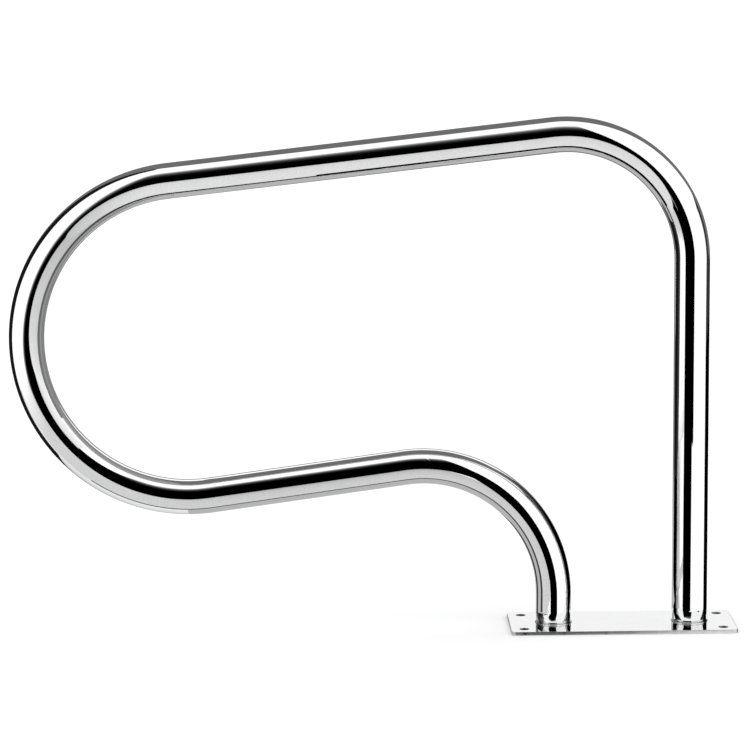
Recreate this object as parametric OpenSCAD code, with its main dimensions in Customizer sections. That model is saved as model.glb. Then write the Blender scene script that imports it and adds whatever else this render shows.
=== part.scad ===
// Deck-mounted pool handrail: one bent stainless tube standing on a drilled base plate.
// +Z is up and +X points to the tall leg. The origin is the centre of the plate's underside.

/* [Tube] */
// Outside diameter of the rail tube
tube_d = 38.1; // [32:0.1:42.4]
// Wall thickness of the rail tube
wall = 1.5; // [1:0.1:2]
// How much each face of the wall draws in where the tube is bent
bend_thinning = 0.02; // [0.01:0.01:0.1]

/* [Rail] */
// Distance between the centres of the two legs
leg_spacing = 148; // [130:1:160]
// Centreline radius of the bend above the tall leg
top_bend_r = 135.5; // [100:0.5:145]
// Centreline length of the straight in the upper run
upper_run = 412; // [380:1:450]
// Fall of the upper run towards the loop, in degrees
upper_fall = 6.3; // [4:0.1:8]
// Centreline radius of the end loop
loop_r = 171.5; // [150:0.5:180]
// Rise of the lower run from the loop towards the legs, in degrees
lower_rise = 7.7; // [5:0.1:9]
// Centreline radius of the bend above the short leg
short_bend_r = 142; // [110:0.5:145]
// Height of the short leg's straight above the plate
short_leg = 32; // [20:1:60]

/* [Base plate] */
// Length of the plate along the rail
plate_l = 244; // [236:1:300]
// Width of the plate across the rail
plate_w = 92; // [84:1:120]
// Thickness of the plate
plate_t = 4; // [3:0.5:8]
// Radius of the plate's corners
corner_r = 5; // [2:0.5:10]
// Distance between the anchor holes along the rail
hole_pitch_l = 215; // [212:1:222]
// Distance between the anchor holes across the rail
hole_pitch_w = 64; // [56:1:68]
// Diameter of the anchor holes
hole_d = 10; // [8:0.5:12]

/* [Welds] */
// Leg of the bead round each tube on top of the plate
bead = 1; // [0.75:0.25:3]
// Depth of the seal weld under each tube's end
root = 1.2; // [0.8:0.1:1.5]
// Gap between each tube and its bore in the plate
bore_gap = 0.1; // [0.05:0.05:0.3]

/* [Hidden] */
$fn = 96;

tube_r = tube_d / 2;
inside_r = tube_r - wall;
bore_r = tube_r + bore_gap;
leg_x = leg_spacing / 2;

// Turns of the three bends
top_bend = 90 + upper_fall;
loop_bend = 180 - upper_fall + lower_rise;
short_bend = 90 + lower_rise;

// The lower run closes the path's length and the tall leg closes its height
lower_run = (top_bend_r * (1 + sin(upper_fall)) + upper_run * cos(upper_fall)
    - loop_r * (sin(upper_fall) + sin(lower_rise))
    - short_bend_r * (1 + sin(lower_rise)) - leg_spacing) / cos(lower_rise);
tall_leg = short_leg - top_bend_r * cos(upper_fall) + upper_run * sin(upper_fall)
    + loop_r * (cos(upper_fall) + cos(lower_rise))
    - lower_run * sin(lower_rise) + short_bend_r * cos(lower_rise);

// Stretch of each leg from its end, just above the root weld, to the plate's top
foot = plate_t - root;
// How far a straight reaches into the bends at its ends
lap = 0.2;

module tube_section(thinning = 0) {
    difference() {
        circle(tube_r - thinning);
        circle(inside_r + thinning);
    }
}

// A straight of tube along +Z, with what follows on its end
module straight(length, back = lap, ahead = lap) {
    translate([0, 0, -back]) linear_extrude(back + length + ahead) tube_section();
    translate([0, 0, length]) children();
}

// A bend of tube from +Z towards -X, with what follows on its end
module bend(radius, angle) {
    translate([-radius, 0, 0]) {
        rotate([90, 0, 0]) rotate_extrude(angle = angle)
            translate([radius, 0]) tube_section(bend_thinning);
        rotate([0, -angle, 0]) translate([radius, 0, 0]) children();
    }
}

module rail_tube() {
    color("silver")
        translate([leg_x, 0, root])
        straight(foot + tall_leg, back = 0)
        bend(top_bend_r, top_bend)
        straight(upper_run)
        bend(loop_r, loop_bend)
        straight(lower_run)
        mirror([1, 0, 0]) bend(short_bend_r, short_bend)
        straight(short_leg + foot, ahead = 0);
}

module plate_outline() {
    square([plate_l - 2 * corner_r, plate_w], center = true);
    square([plate_l, plate_w - 2 * corner_r], center = true);
    for (x = [-1, 1], y = [-1, 1])
        translate([x * (plate_l / 2 - corner_r), y * (plate_w / 2 - corner_r)]) circle(corner_r);
}

module base_plate() {
    color("gainsboro")
        linear_extrude(plate_t) difference() {
            plate_outline();
            for (x = [-1, 1], y = [-1, 1])
                translate([x * hole_pitch_l / 2, y * hole_pitch_w / 2]) circle(hole_d / 2);
            for (x = [-1, 1]) translate([x * leg_x, 0]) circle(bore_r);
        }
}

// The convex bead in the corner between a leg and the plate's top
module leg_weld(x) {
    color("lightgrey")
        translate([x, 0, plate_t]) rotate_extrude() translate([tube_r, 0])
        intersection() {
            circle(bead);
            square(bead);
        }
}

// The ring that seals a tube's end to its bore, ground flush with the plate's underside
module root_weld(x) {
    color("lightgrey")
        translate([x, 0, 0]) linear_extrude(root) difference() {
            circle(bore_r);
            circle(inside_r);
        }
}

module tall_leg_weld() { leg_weld(leg_x); }
module short_leg_weld() { leg_weld(-leg_x); }
module tall_leg_root_weld() { root_weld(leg_x); }
module short_leg_root_weld() { root_weld(-leg_x); }

rail_tube();
base_plate();
tall_leg_weld();
short_leg_weld();
tall_leg_root_weld();
short_leg_root_weld();
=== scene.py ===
import math

import bmesh
import bpy
from mathutils import Matrix, Vector


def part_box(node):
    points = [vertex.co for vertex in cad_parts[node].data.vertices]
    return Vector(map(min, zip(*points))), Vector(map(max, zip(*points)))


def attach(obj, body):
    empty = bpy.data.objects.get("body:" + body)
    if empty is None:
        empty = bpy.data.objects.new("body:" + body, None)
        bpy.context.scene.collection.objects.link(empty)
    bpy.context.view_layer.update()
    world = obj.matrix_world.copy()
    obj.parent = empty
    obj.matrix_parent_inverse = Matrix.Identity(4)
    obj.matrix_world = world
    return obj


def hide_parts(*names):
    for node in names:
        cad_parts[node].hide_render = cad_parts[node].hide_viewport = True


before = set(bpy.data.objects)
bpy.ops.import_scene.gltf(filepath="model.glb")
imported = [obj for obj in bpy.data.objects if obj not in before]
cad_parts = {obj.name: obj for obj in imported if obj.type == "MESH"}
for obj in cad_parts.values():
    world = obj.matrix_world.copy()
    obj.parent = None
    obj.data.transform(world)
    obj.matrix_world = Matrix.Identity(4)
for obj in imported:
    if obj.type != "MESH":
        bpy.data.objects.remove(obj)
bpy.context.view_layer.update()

# Sizes of the rail that its boxes don't give, in metres and degrees, as in part.scad
WALL = 0.0015
TOP_BEND_R = 0.1355
UPPER_RUN = 0.412
UPPER_FALL = 6.3
LOOP_R = 0.1715
LOWER_RISE = 7.7
SHORT_BEND_R = 0.142
CORNER_R = 0.005
HOLE_R = 0.005
HOLE_PITCH_L = 0.215
HOLE_PITCH_W = 0.064
BORE_GAP = 0.0001

# Mesh detail of the tube; its steps are metres along a straight and degrees round a bend
TUBE_SIDES = 128
OUTER_STEPS = (0.02, 1.5)
INNER_STEPS = (0.2, 4.5)
OVALITY = 0.006
OVAL_LEAD = 0.03

# Mesh detail of the plate and the beads
EDGE_ROUND = 0.0004
EDGE_STEPS = 4
HOLE_SIDES = 96
CORNER_STEPS = 12
FACE_SLOT = 0
EDGE_SLOT = 1
BEAD_SIDES = 240
BEAD_STEPS = 8
BEAD_RIPPLES = 46
BEAD_RIPPLE = 0.12
BEAD_LEAN = 1.5
BEAD_SUNK = 0.0004

# Steel's noises, each a scale (per metre) and a level of detail
CLOUDS = (45, 3)
FLECKS = (520, 4)
SMEARS = (140, 6)
WAVES = (22, 2)
SCRATCHES = (1100, 3)
NOISE_SPREAD = (0.3, 0.7)

# Studio: its white's glow, the floor, and the heights of the cards under the floor, which paint the
# floor's reflection, and of the cards over the plate, which paint the plate's reflection
WHITE = 1.25
FLOOR_REACH = (-30, 30)
FLOOR_TONE = 0.9
UNDER = -0.001
CEILING = 0.06

# Detail of the cards, and how far the ribbons lie inside and outside the tube's centreline
CARD_STEPS = 24
RIBBON_STEPS = (0.01, 2)
INSIDE = 0.0815
OUTSIDE = -0.0725

# Camera: place in metres, turns in degrees, lens in millimetres
EYE = Vector((-0.3266, -3.4455, 0.8430))
YAW = 1.005
PITCH = 9.314
ROLL = -0.396
LENS = 156.15
SENSOR = 36

tall_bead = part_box("tall_leg_weld")
plate_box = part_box("base_plate")
rail_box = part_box("rail_tube")
plate_top = plate_box[1].z
bead_size = tall_bead[1].z - plate_top
leg_x = (tall_bead[0].x + tall_bead[1].x) / 2
tube_r = (tall_bead[1].x - tall_bead[0].x) / 2 - bead_size
foot_z = rail_box[0].z


# ---------------------------------------------------------------- meshes
def ring_mesh(name, rings):
    """A closed skin of quads over rings of points, the last ring joined to the first."""
    sides = len(rings[0])
    points = [p for ring in rings for p in ring]
    faces = []
    for i in range(len(rings)):
        a = i * sides
        b = (i + 1) % len(rings) * sides
        for k in range(sides):
            n = (k + 1) % sides
            faces.append((a + k, a + n, b + n, b + k))
    mesh = bpy.data.meshes.new(name)
    mesh.from_pydata(points, [], faces)
    mesh.polygons.foreach_set("use_smooth", [True] * len(faces))
    return mesh


def place(name, mesh, materials, node):
    """Links a mesh that stands for a CAD node, and rides with the rail."""
    piece = bpy.data.objects.new(name, mesh)
    bpy.context.scene.collection.objects.link(piece)
    for material in materials:
        mesh.materials.append(material)
    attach(piece, "root")
    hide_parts(node)
    return piece


# ---------------------------------------------------------------- rail tube
def heading(turn):
    """Unit vector at that many degrees from +Z towards -X."""
    return Vector((-math.sin(math.radians(turn)), 0, math.cos(math.radians(turn))))


def lower_run():
    """Length of the straight that brings the rail back over its short leg."""
    rise, fall = math.radians(LOWER_RISE), math.radians(UPPER_FALL)
    reach = TOP_BEND_R * (1 + math.sin(fall)) + UPPER_RUN * math.cos(fall)
    back = LOOP_R * (math.sin(fall) + math.sin(rise)) + SHORT_BEND_R * (1 + math.sin(rise))
    return (reach - back - 2 * leg_x) / math.cos(rise)


def stations(straight_step, bend_step):
    """Centreline as (point, turn, ovality), from the tall leg's foot to the short leg's."""
    here, turn = Vector((leg_x, 0, foot_z)), 0.0
    found = [(here, turn, 0.0)]

    def straight(length):
        steps = math.ceil(length / straight_step)
        start = here
        for i in range(1, steps + 1):
            found.append((start + heading(turn) * length * i / steps, turn, 0.0))
        return found[-1][0]

    def bend(radius, angle):
        side = math.copysign(90, angle)
        centre = here + heading(turn + side) * radius
        steps = round(abs(angle) / bend_step)
        arc = radius * math.radians(abs(angle))
        for i in range(1, steps + 1):
            now = turn + angle * i / steps
            lead = min(1.0, min(i, steps - i) / steps * arc / OVAL_LEAD)
            oval = OVALITY * lead * lead * (3 - 2 * lead)
            found.append((centre - heading(now + side) * radius, now, oval))
        return found[-1][:2]

    here = straight(rail_box[1].z - tube_r - TOP_BEND_R - foot_z)
    here, turn = bend(TOP_BEND_R, 90 + UPPER_FALL)
    here = straight(UPPER_RUN)
    here, turn = bend(LOOP_R, 180 - UPPER_FALL + LOWER_RISE)
    here = straight(lower_run())
    here, turn = bend(SHORT_BEND_R, -90 - LOWER_RISE)
    straight(here.z - foot_z)
    return found


def tube_rings(steps, radius):
    """Rings of the tube's outside or inside, flattened a little in the plane of each bend."""
    rings = []
    for point, turn, oval in stations(*steps):
        inward = heading(turn + 90) * radius * (1 - oval)
        across = Vector((0, radius * (1 + oval / 2), 0))
        angles = [2 * math.pi * k / TUBE_SIDES for k in range(TUBE_SIDES)]
        rings.append([point + inward * math.cos(a) + across * math.sin(a) for a in angles])
    return rings


def make_rail(steel):
    rings = tube_rings(OUTER_STEPS, tube_r)
    outer_rings = len(rings)
    rings += tube_rings(INNER_STEPS, tube_r - WALL)[::-1]
    mesh = ring_mesh("rail", rings)
    for end in (outer_rings, len(rings)):
        for face in mesh.polygons[(end - 1) * TUBE_SIDES:end * TUBE_SIDES]:
            face.use_smooth = False
    return place("polished_rail", mesh, [steel], "rail_tube")


# ---------------------------------------------------------------- base plate
def round_outline(x, y, radius):
    """A hole as (point, direction out of the metal) pairs."""
    angles = [2 * math.pi * k / HOLE_SIDES for k in range(HOLE_SIDES)]
    units = [Vector((math.cos(a), math.sin(a))) for a in angles]
    return [(Vector((x, y)) + u * radius, -u) for u in units]


def plate_outline():
    """The plate's outer edge as (point, direction out of the metal) pairs."""
    half = (plate_box[1] - plate_box[0]) / 2
    outline = []
    for quarter in range(4):
        corner = Vector((1 if quarter in (0, 3) else -1, 1 if quarter < 2 else -1))
        centre = Vector((corner.x * (half.x - CORNER_R), corner.y * (half.y - CORNER_R)))
        for i in range(CORNER_STEPS + 1):
            a = math.radians(90 * quarter + 90 * i / CORNER_STEPS)
            unit = Vector((math.cos(a), math.sin(a)))
            outline.append((centre + unit * CORNER_R, unit))
    return outline


def edge_profile():
    """The rounded edge from the underside to the top, as (inset, height) pairs."""
    arc = [math.radians(90 * i / EDGE_STEPS) for i in range(EDGE_STEPS + 1)]
    low = [(EDGE_ROUND * (1 - math.sin(a)), EDGE_ROUND * (1 - math.cos(a))) for a in arc]
    return low + [(inset, plate_top - height) for inset, height in reversed(low)]


def all_outlines():
    """The plate's edge, the two bores for the legs and the four anchor holes."""
    outlines = [plate_outline()]
    for sx in (-1, 1):
        outlines.append(round_outline(sx * leg_x, 0, tube_r + BORE_GAP))
        for sy in (-1, 1):
            outlines.append(round_outline(sx * HOLE_PITCH_L / 2, sy * HOLE_PITCH_W / 2, HOLE_R))
    return outlines


def edge_wall(shape, outline):
    """The skin of one edge of the plate; gives back its lowest and its highest ring."""
    rings = []
    for inset, height in edge_profile():
        rings.append([shape.verts.new((*(p - out * inset), height)) for p, out in outline])
    for lower, upper in zip(rings, rings[1:]):
        for k in range(len(lower)):
            n = (k + 1) % len(lower)
            face = shape.faces.new((lower[k], lower[n], upper[n], upper[k]))
            face.smooth = True
            face.material_index = EDGE_SLOT
    return rings[0], rings[-1]


def flat_face(shape, rings, up):
    """The flat between the plate's edge and its holes."""
    edges = []
    for ring in rings:
        edges += [shape.edges.get((ring[k], ring[(k + 1) % len(ring)])) for k in range(len(ring))]
    made = bmesh.ops.triangle_fill(shape, use_beauty=True, edges=edges, normal=(0, 0, up))
    for face in made["geom"]:
        if isinstance(face, bmesh.types.BMFace):
            face.material_index = FACE_SLOT


def make_plate(steel, edge):
    shape = bmesh.new()
    walls = [edge_wall(shape, outline) for outline in all_outlines()]
    flat_face(shape, [lowest for lowest, _ in walls], -1)
    flat_face(shape, [highest for _, highest in walls], 1)
    bmesh.ops.recalc_face_normals(shape, faces=shape.faces)
    mesh = bpy.data.meshes.new("plate")
    shape.to_mesh(mesh)
    shape.free()
    return place("polished_plate", mesh, [steel, edge], "base_plate")


# ---------------------------------------------------------------- welds
def make_bead(name, node, x, steel):
    """A rippled bead in the corner between a leg and the plate."""
    rings = []
    for k in range(BEAD_SIDES):
        a = 2 * math.pi * k / BEAD_SIDES
        out = Vector((math.cos(a), math.sin(a), 0))
        corner = Vector((x, 0, plate_top)) + out * tube_r
        ring = [corner - out * BEAD_SUNK - Vector((0, 0, BEAD_SUNK))]
        for i in range(BEAD_STEPS + 1):
            b = math.pi / 2 * i / BEAD_STEPS
            wave = 0.5 + 0.5 * math.cos(BEAD_RIPPLES * a - BEAD_LEAN * math.sin(2 * b))
            size = bead_size * (1 - BEAD_RIPPLE * wave * math.sin(2 * b))
            ring.append(corner + out * size * math.cos(b) + Vector((0, 0, size * math.sin(b))))
        rings.append(ring)
    return place(name, ring_mesh(name, rings), [steel], node)


def finish_root_welds(steel):
    """The root welds keep their CAD mesh and get ground steel."""
    for node in ("tall_leg_root_weld", "short_leg_root_weld"):
        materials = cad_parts[node].data.materials
        materials.clear()
        materials.append(steel)


# ---------------------------------------------------------------- materials
def node_material(name):
    material = bpy.data.materials.new(name)
    material.use_nodes = True
    return material, material.node_tree.nodes, material.node_tree.links


def noise(nodes, links, grain, low=0.0, high=1.0):
    """Noise of that scale and detail in the object's own space, spread over low..high, as a socket."""
    where = nodes.new("ShaderNodeTexCoord")
    texture = nodes.new("ShaderNodeTexNoise")
    texture.inputs["Scale"].default_value = grain[0]
    texture.inputs["Detail"].default_value = grain[1]
    links.new(where.outputs["Object"], texture.inputs["Vector"])
    ramp = nodes.new("ShaderNodeMapRange")
    ramp.inputs["From Min"].default_value = NOISE_SPREAD[0]
    ramp.inputs["From Max"].default_value = NOISE_SPREAD[1]
    ramp.inputs["To Min"].default_value = low
    ramp.inputs["To Max"].default_value = high
    links.new(texture.outputs["Fac"], ramp.inputs["Value"])
    return ramp.outputs["Result"]


def blend(nodes, links, factor, first, second):
    """Mixes two colours, or the sockets of two colours, as a socket."""
    mix = nodes.new("ShaderNodeMix")
    mix.data_type = "RGBA"
    links.new(factor, mix.inputs["Factor"])
    for name, tone in (("A", first), ("B", second)):
        if isinstance(tone, tuple):
            mix.inputs[name].default_value = (*tone, 1)
        else:
            links.new(tone, mix.inputs[name])
    return mix.outputs["Result"]


def steel_material(name, dark, clear, roughness, haze=1e-5, wobble=1e-5):
    """Stainless steel: broad clouds and fine flecks of tone, polishing haze and a faint wobble."""
    material, nodes, links = node_material(name)
    shader = nodes["Principled BSDF"]
    shader.inputs["Metallic"].default_value = 1
    clouds = blend(nodes, links, noise(nodes, links, CLOUDS, 0, 0.5), clear, dark)
    flecks = blend(nodes, links, noise(nodes, links, FLECKS), dark, clouds)
    links.new(flecks, shader.inputs["Base Color"])
    links.new(noise(nodes, links, SMEARS, *roughness), shader.inputs["Roughness"])
    normal = None
    for grain, depth in ((WAVES, wobble), (SCRATCHES, haze)):
        bump = nodes.new("ShaderNodeBump")
        bump.inputs["Distance"].default_value = depth
        links.new(noise(nodes, links, grain), bump.inputs["Height"])
        if normal:
            links.new(normal, bump.inputs["Normal"])
        normal = bump.outputs["Normal"]
    links.new(normal, shader.inputs["Normal"])
    return material


def mirror_steel():
    """Mirror-polished steel of the rail and the plate."""
    dark = (0.8, 0.803, 0.806)
    clear = (0.9, 0.902, 0.905)
    return steel_material("mirror_steel", dark, clear, roughness=(0.01, 0.03), haze=1e-6)


def cut_edge_steel():
    """Dull steel of the plate's sawn edges and the ground root welds."""
    return steel_material("cut_edge_steel", (0.5,) * 3, (0.62,) * 3, roughness=(0.25, 0.4))


def weld_steel():
    """Slightly dull steel of the beads."""
    return steel_material("weld_steel", (0.6,) * 3, (0.72,) * 3, roughness=(0.1, 0.2))


# ---------------------------------------------------------------- studio
def glow_material(name, front_only):
    """Glows by its mesh's own glow values; a front-only card is clear from behind."""
    material, nodes, links = node_material(name)
    glow = nodes.new("ShaderNodeAttribute")
    glow.attribute_name = "glow"
    light = nodes.new("ShaderNodeEmission")
    links.new(glow.outputs["Fac"], light.inputs["Strength"])
    surface = light.outputs["Emission"]
    if front_only:
        side = nodes.new("ShaderNodeNewGeometry")
        mix = nodes.new("ShaderNodeMixShader")
        links.new(side.outputs["Backfacing"], mix.inputs["Fac"])
        links.new(surface, mix.inputs[1])
        links.new(nodes.new("ShaderNodeBsdfTransparent").outputs["BSDF"], mix.inputs[2])
        surface = mix.outputs["Shader"]
    links.new(surface, nodes["Material Output"].inputs["Surface"])
    return material


def stage_mesh(name, points, faces, material):
    mesh = bpy.data.meshes.new(name)
    mesh.from_pydata(points, [], faces)
    mesh.materials.append(material)
    thing = bpy.data.objects.new(name, mesh)
    bpy.context.scene.collection.objects.link(thing)
    return thing


def glowing(name, points, faces, values, front_only):
    """A studio card that only shows in reflections, with a glow value for each point."""
    sheet = stage_mesh(name, points, faces, glow_material(name, front_only))
    sheet.data.attributes.new("glow", "FLOAT", "POINT").data.foreach_set("value", values)
    sheet.visible_camera = False
    sheet.visible_diffuse = False
    sheet.visible_shadow = False
    sheet.visible_transmission = False
    sheet.visible_volume_scatter = False


def card(name, corners, glow=0.0, front_only=False):
    """A four-cornered studio card; glow is a number or a function of (u, v)."""
    a, b, c, d = (Vector(corner) for corner in corners)
    row = CARD_STEPS + 1
    places = [(i / CARD_STEPS, j / CARD_STEPS) for j in range(row) for i in range(row)]
    points = [a.lerp(b, u).lerp(d.lerp(c, u), v) for u, v in places]
    starts = [j * row + i for j in range(CARD_STEPS) for i in range(CARD_STEPS)]
    faces = [(s, s + 1, s + row + 1, s + row) for s in starts]
    values = [glow(u, v) if callable(glow) else glow for u, v in places]
    glowing(name, points, faces, values, front_only)


def ribbon(name, start, end, offset, y, width, glow):
    """A narrow card along the rail that paints a dark line into its reflection, from start to end
    metres of its centreline, its front to the rail.

    Its place in y, its width and its glow are each one value, or a pair of them for the two ends.
    """
    ends = [pair(value) for value in (y, width, glow)]
    points = []
    values = []
    gone = 0.0
    last = None
    for point, turn, _ in stations(*RIBBON_STEPS):
        gone += (point - last).length if last else 0
        last = point
        if start <= gone <= end:
            share = (gone - start) / (end - start)
            middle, breadth, shine = (first + (second - first) * share for first, second in ends)
            side = math.copysign(breadth / 2, -offset)
            here = point + heading(turn + 90) * offset
            points += [(here.x, middle + s, here.z) for s in (-side, side)]
            values += [shine, shine]
    faces = [(i, i + 2, i + 3, i + 1) for i in range(0, len(points) - 2, 2)]
    glowing(name, points, faces, values, True)


def pair(value):
    """A value for each of two ends, given as one number or as two."""
    return value if isinstance(value, tuple) else (value, value)


def upright(start, end, low, high):
    """Corners of a card that stands between two points on the plan, facing right of that way."""
    lows = [(*point, z) for point, z in zip((start, end), pair(low))]
    highs = [(*point, z) for point, z in zip((start, end), pair(high))]
    return lows + highs[::-1]


def level(x, y, near, far=None):
    """Corners of a lying card, its front up; near and far are its heights at the two ends of y."""
    far = near if far is None else far
    return [(x[0], y[0], near), (x[1], y[0], near), (x[1], y[1], far), (x[0], y[1], far)]


def across(first, last):
    """Glow that runs evenly along a card's bottom edge."""
    return lambda u, v: first + (last - first) * u


def upward(first, last, reach=1.0):
    """Glow that runs evenly up a card's side, over that much of it."""
    return lambda u, v: first + (last - first) * min(v / reach, 1)


def painted_shelf_tones(u, v):
    """Painted reflection of the floor for the upper run: pale grey, painted darker away from the rail
    and where the loop begins.
    """
    return (0.65 + 0.24 * v) * min(0.72 + 2 * u, 1)


def painted_ramp_tones(u, v):
    """Painted reflection of the floor for the loop: white at the left to pale grey, painted falling
    towards black away from the rail.
    """
    return (1.05 - 0.64 * u) * min(0.22 + 0.9 * v, 1)


def front_fade(u, v):
    """Black, with a soft left edge and a soft top that reach the studio's white."""
    left = 1 - u / 0.26
    top = (v - 0.35) / 0.65
    return WHITE * max(left, top, 0) ** 3.7


def painted_table_tones(u, v):
    """Painted reflection of the table: pale grey, painted darker away from the rail on its right, with
    a soft left edge.
    """
    grey = 0.44 + 0.32 * v
    even = min(max((0.76 - u) / 0.15, 0), 1)
    left = max(1 - u / 0.36, 0)
    grey += (0.75 - grey) * even
    return grey + (WHITE - grey) * left


def make_front_cards():
    """The black band along the middle of the tube and the pale band under it, the pale band a painted
    reflection of the floor.
    """
    card("front_flag", upright((-1.08, -1.1), (0.27, -1.1), 0, 2.43), front_fade)
    card("near_flag", upright((-0.15, -0.19), (0.08, -0.41), -0.15, (0.42, 0.22)))
    # Glowing cards standing in for the floor in the upper run's and the loop's reflections: a painted
    # reflection with painted shade
    card("upper_shelf", level((-0.59, 0.01), (-0.77, -0.025), 0.44, 0.425), painted_shelf_tones, True)
    ramp = [(-0.535, -0.7, 0.29), (-0.47, -0.7, 0.33), (-0.47, -0.02, 0.33), (-0.55, -0.02, 0.28)]
    card("loop_ramp", ramp, painted_ramp_tones, True)
    # Glowing card in the floor's place in reflections: a painted reflection of the floor, pale grey,
    # with painted shade away from the rail
    card("front_painted_reflection", level((-1.25, -0.145), (-1.1, -0.025), UNDER), painted_table_tones)
    card("right_sheet", upright((-0.22, -0.24), (-0.22, -0.09), UNDER, 0.15), WHITE, True)
    card("left_sheet", upright((-0.2, -0.09), (-0.125, -0.74), 0.02, 0.55), across(1.1, 0.82), True)


def make_edge_cards():
    """The dark lines along both edges of the tube; its ribbons paint dark lines of reflected rail and
    of the rail's shadow on the floor.
    """
    card("left_flag", upright((-0.8, 0.02), (-0.59, 0.78), -0.6, 1.72), 0.01)
    card("right_flag", upright((0.65, 0.07), (0.145, 0.38), -0.6, (0.21, 0.34)))
    card("right_flag_top", upright((0.65, 0.07), (0.145, 0.38), (0.21, 0.34), 0.6), 0.04)
    card("right_flag_back", upright((0.145, 0.38), (-0.555, 0.81), -0.6, (0.34, 0.52)), 0.27)
    card("back_flag", upright((-1.07, 0.2), (0.445, 0.2), 0.37, 2.16), 0.175)
    card("loop_flag", upright((-0.457, 0.136), (-0.475, 0), 0.233, 0.55), across(0.2, 0.4), True)
    card("leg_flag", upright((-0.035, 0.012), (-0.103, 0.189), UNDER, 0.143), 0, True)
    post = [(-0.134, 0.022, UNDER), (-0.134, 0.064, UNDER), (-0.134, 0.03, 0.4), (-0.134, -0.012, 0.4)]
    card("leg_post", post, 0.06, True)
    # Glowing cards in the floor's place behind the rail in reflections: a painted reflection, painted
    # darker away from the rail on the left
    card("back_left_painted_reflection", level((-1.25, -0.475), (-0.025, 2), UNDER), upward(1, 0.08, 0.25))
    card("back_right_painted_reflection", level((-0.475, 0.02), (-0.025, 2), UNDER), 0.54)
    # Ribbons inside the top bend, the upper run and the loop: a painted dark reflection of the rail's
    # lower parts below them
    ribbon("bend_ribbon", 0.44, 0.63, INSIDE, (-0.012, -0.026), 0.02, 0)
    ribbon("upper_ribbon", 0.61, 1.06, INSIDE, -0.026, 0.02, 0)
    ribbon("loop_ribbon", 1.04, 1.4, INSIDE, (-0.026, -0.008), (0.02, 0.03), (0, 0.25))
    # Ribbons under the lower run and the short bend: a painted shadow of the tube on the floor, as
    # seen in reflection
    ribbon("lower_ribbon", 1.45, 1.86, OUTSIDE, -0.026, (0.01, 0.011), 0.15)
    ribbon("short_bend_ribbon", 1.84, 2.1, OUTSIDE, (-0.026, -0.014), (0.011, 0.02), (0.15, 0.02))


def make_plate_cards():
    """Painted reflections for the plate's top, its holes and the short leg's foot: glowing cards over
    the plate, a painted floor reflection and painted shade under it.
    """
    # Glowing cards over the plate, seen only in reflections: a painted reflection that greys the
    # plate's top and the short leg's foot
    card("plate_top_painted_reflection", level((-0.13, 0.16), (0.15, 0.3), CEILING)[::-1], 1.02, True)
    card("foot_painted_reflection", level((-0.5, -0.19), (-0.2, -0.03), CEILING)[::-1], 0.7, True)
    # Glowing card in the floor's place at the plate's end: a painted reflection of the floor
    card("plate_end_painted_reflection", level((-0.145, -0.122), (-0.09, -0.01), UNDER), 0.75)
    card("plate_shade", level((-0.12, 0.12), (-0.045, 0.045), UNDER / 2))


def make_floor():
    material, nodes, links = node_material("floor")
    shader = nodes["Principled BSDF"]
    shader.inputs["Base Color"].default_value = (FLOOR_TONE, FLOOR_TONE, FLOOR_TONE, 1)
    shader.inputs["Roughness"].default_value = 1
    shader.inputs["Specular IOR Level"].default_value = 0
    floor = stage_mesh("floor", level(FLOOR_REACH, FLOOR_REACH, 0), [(0, 1, 2, 3)], material)
    # Hidden from reflections; glowing cards under it paint its reflection instead
    floor.visible_glossy = False


def make_world():
    world = bpy.data.worlds.new("white_studio")
    bpy.context.scene.world = world
    world.use_nodes = True
    background = world.node_tree.nodes["Background"]
    background.inputs["Color"].default_value = (1, 1, 1, 1)
    background.inputs["Strength"].default_value = WHITE


# ---------------------------------------------------------------- camera
def make_camera():
    data = bpy.data.cameras.new("camera")
    data.lens = LENS
    data.sensor_width = SENSOR
    camera = bpy.data.objects.new("camera", data)
    bpy.context.scene.collection.objects.link(camera)
    yaw = Matrix.Rotation(math.radians(-YAW), 4, "Z")
    pitch = Matrix.Rotation(math.radians(90 - PITCH), 4, "X")
    roll = Matrix.Rotation(math.radians(ROLL), 4, "Z")
    camera.matrix_world = Matrix.Translation(EYE) @ yaw @ pitch @ roll
    bpy.context.scene.camera = camera


# ---------------------------------------------------------------- scene
bpy.context.scene.view_settings.view_transform = "Standard"
mirror = mirror_steel()
edge_steel = cut_edge_steel()
bead_steel = weld_steel()
make_camera()
make_world()
make_floor()
make_front_cards()
make_edge_cards()
make_plate_cards()
make_rail(mirror)
make_plate(mirror, edge_steel)
make_bead("tall_leg_bead", "tall_leg_weld", leg_x, bead_steel)
make_bead("short_leg_bead", "short_leg_weld", -leg_x, bead_steel)
finish_root_welds(edge_steel)
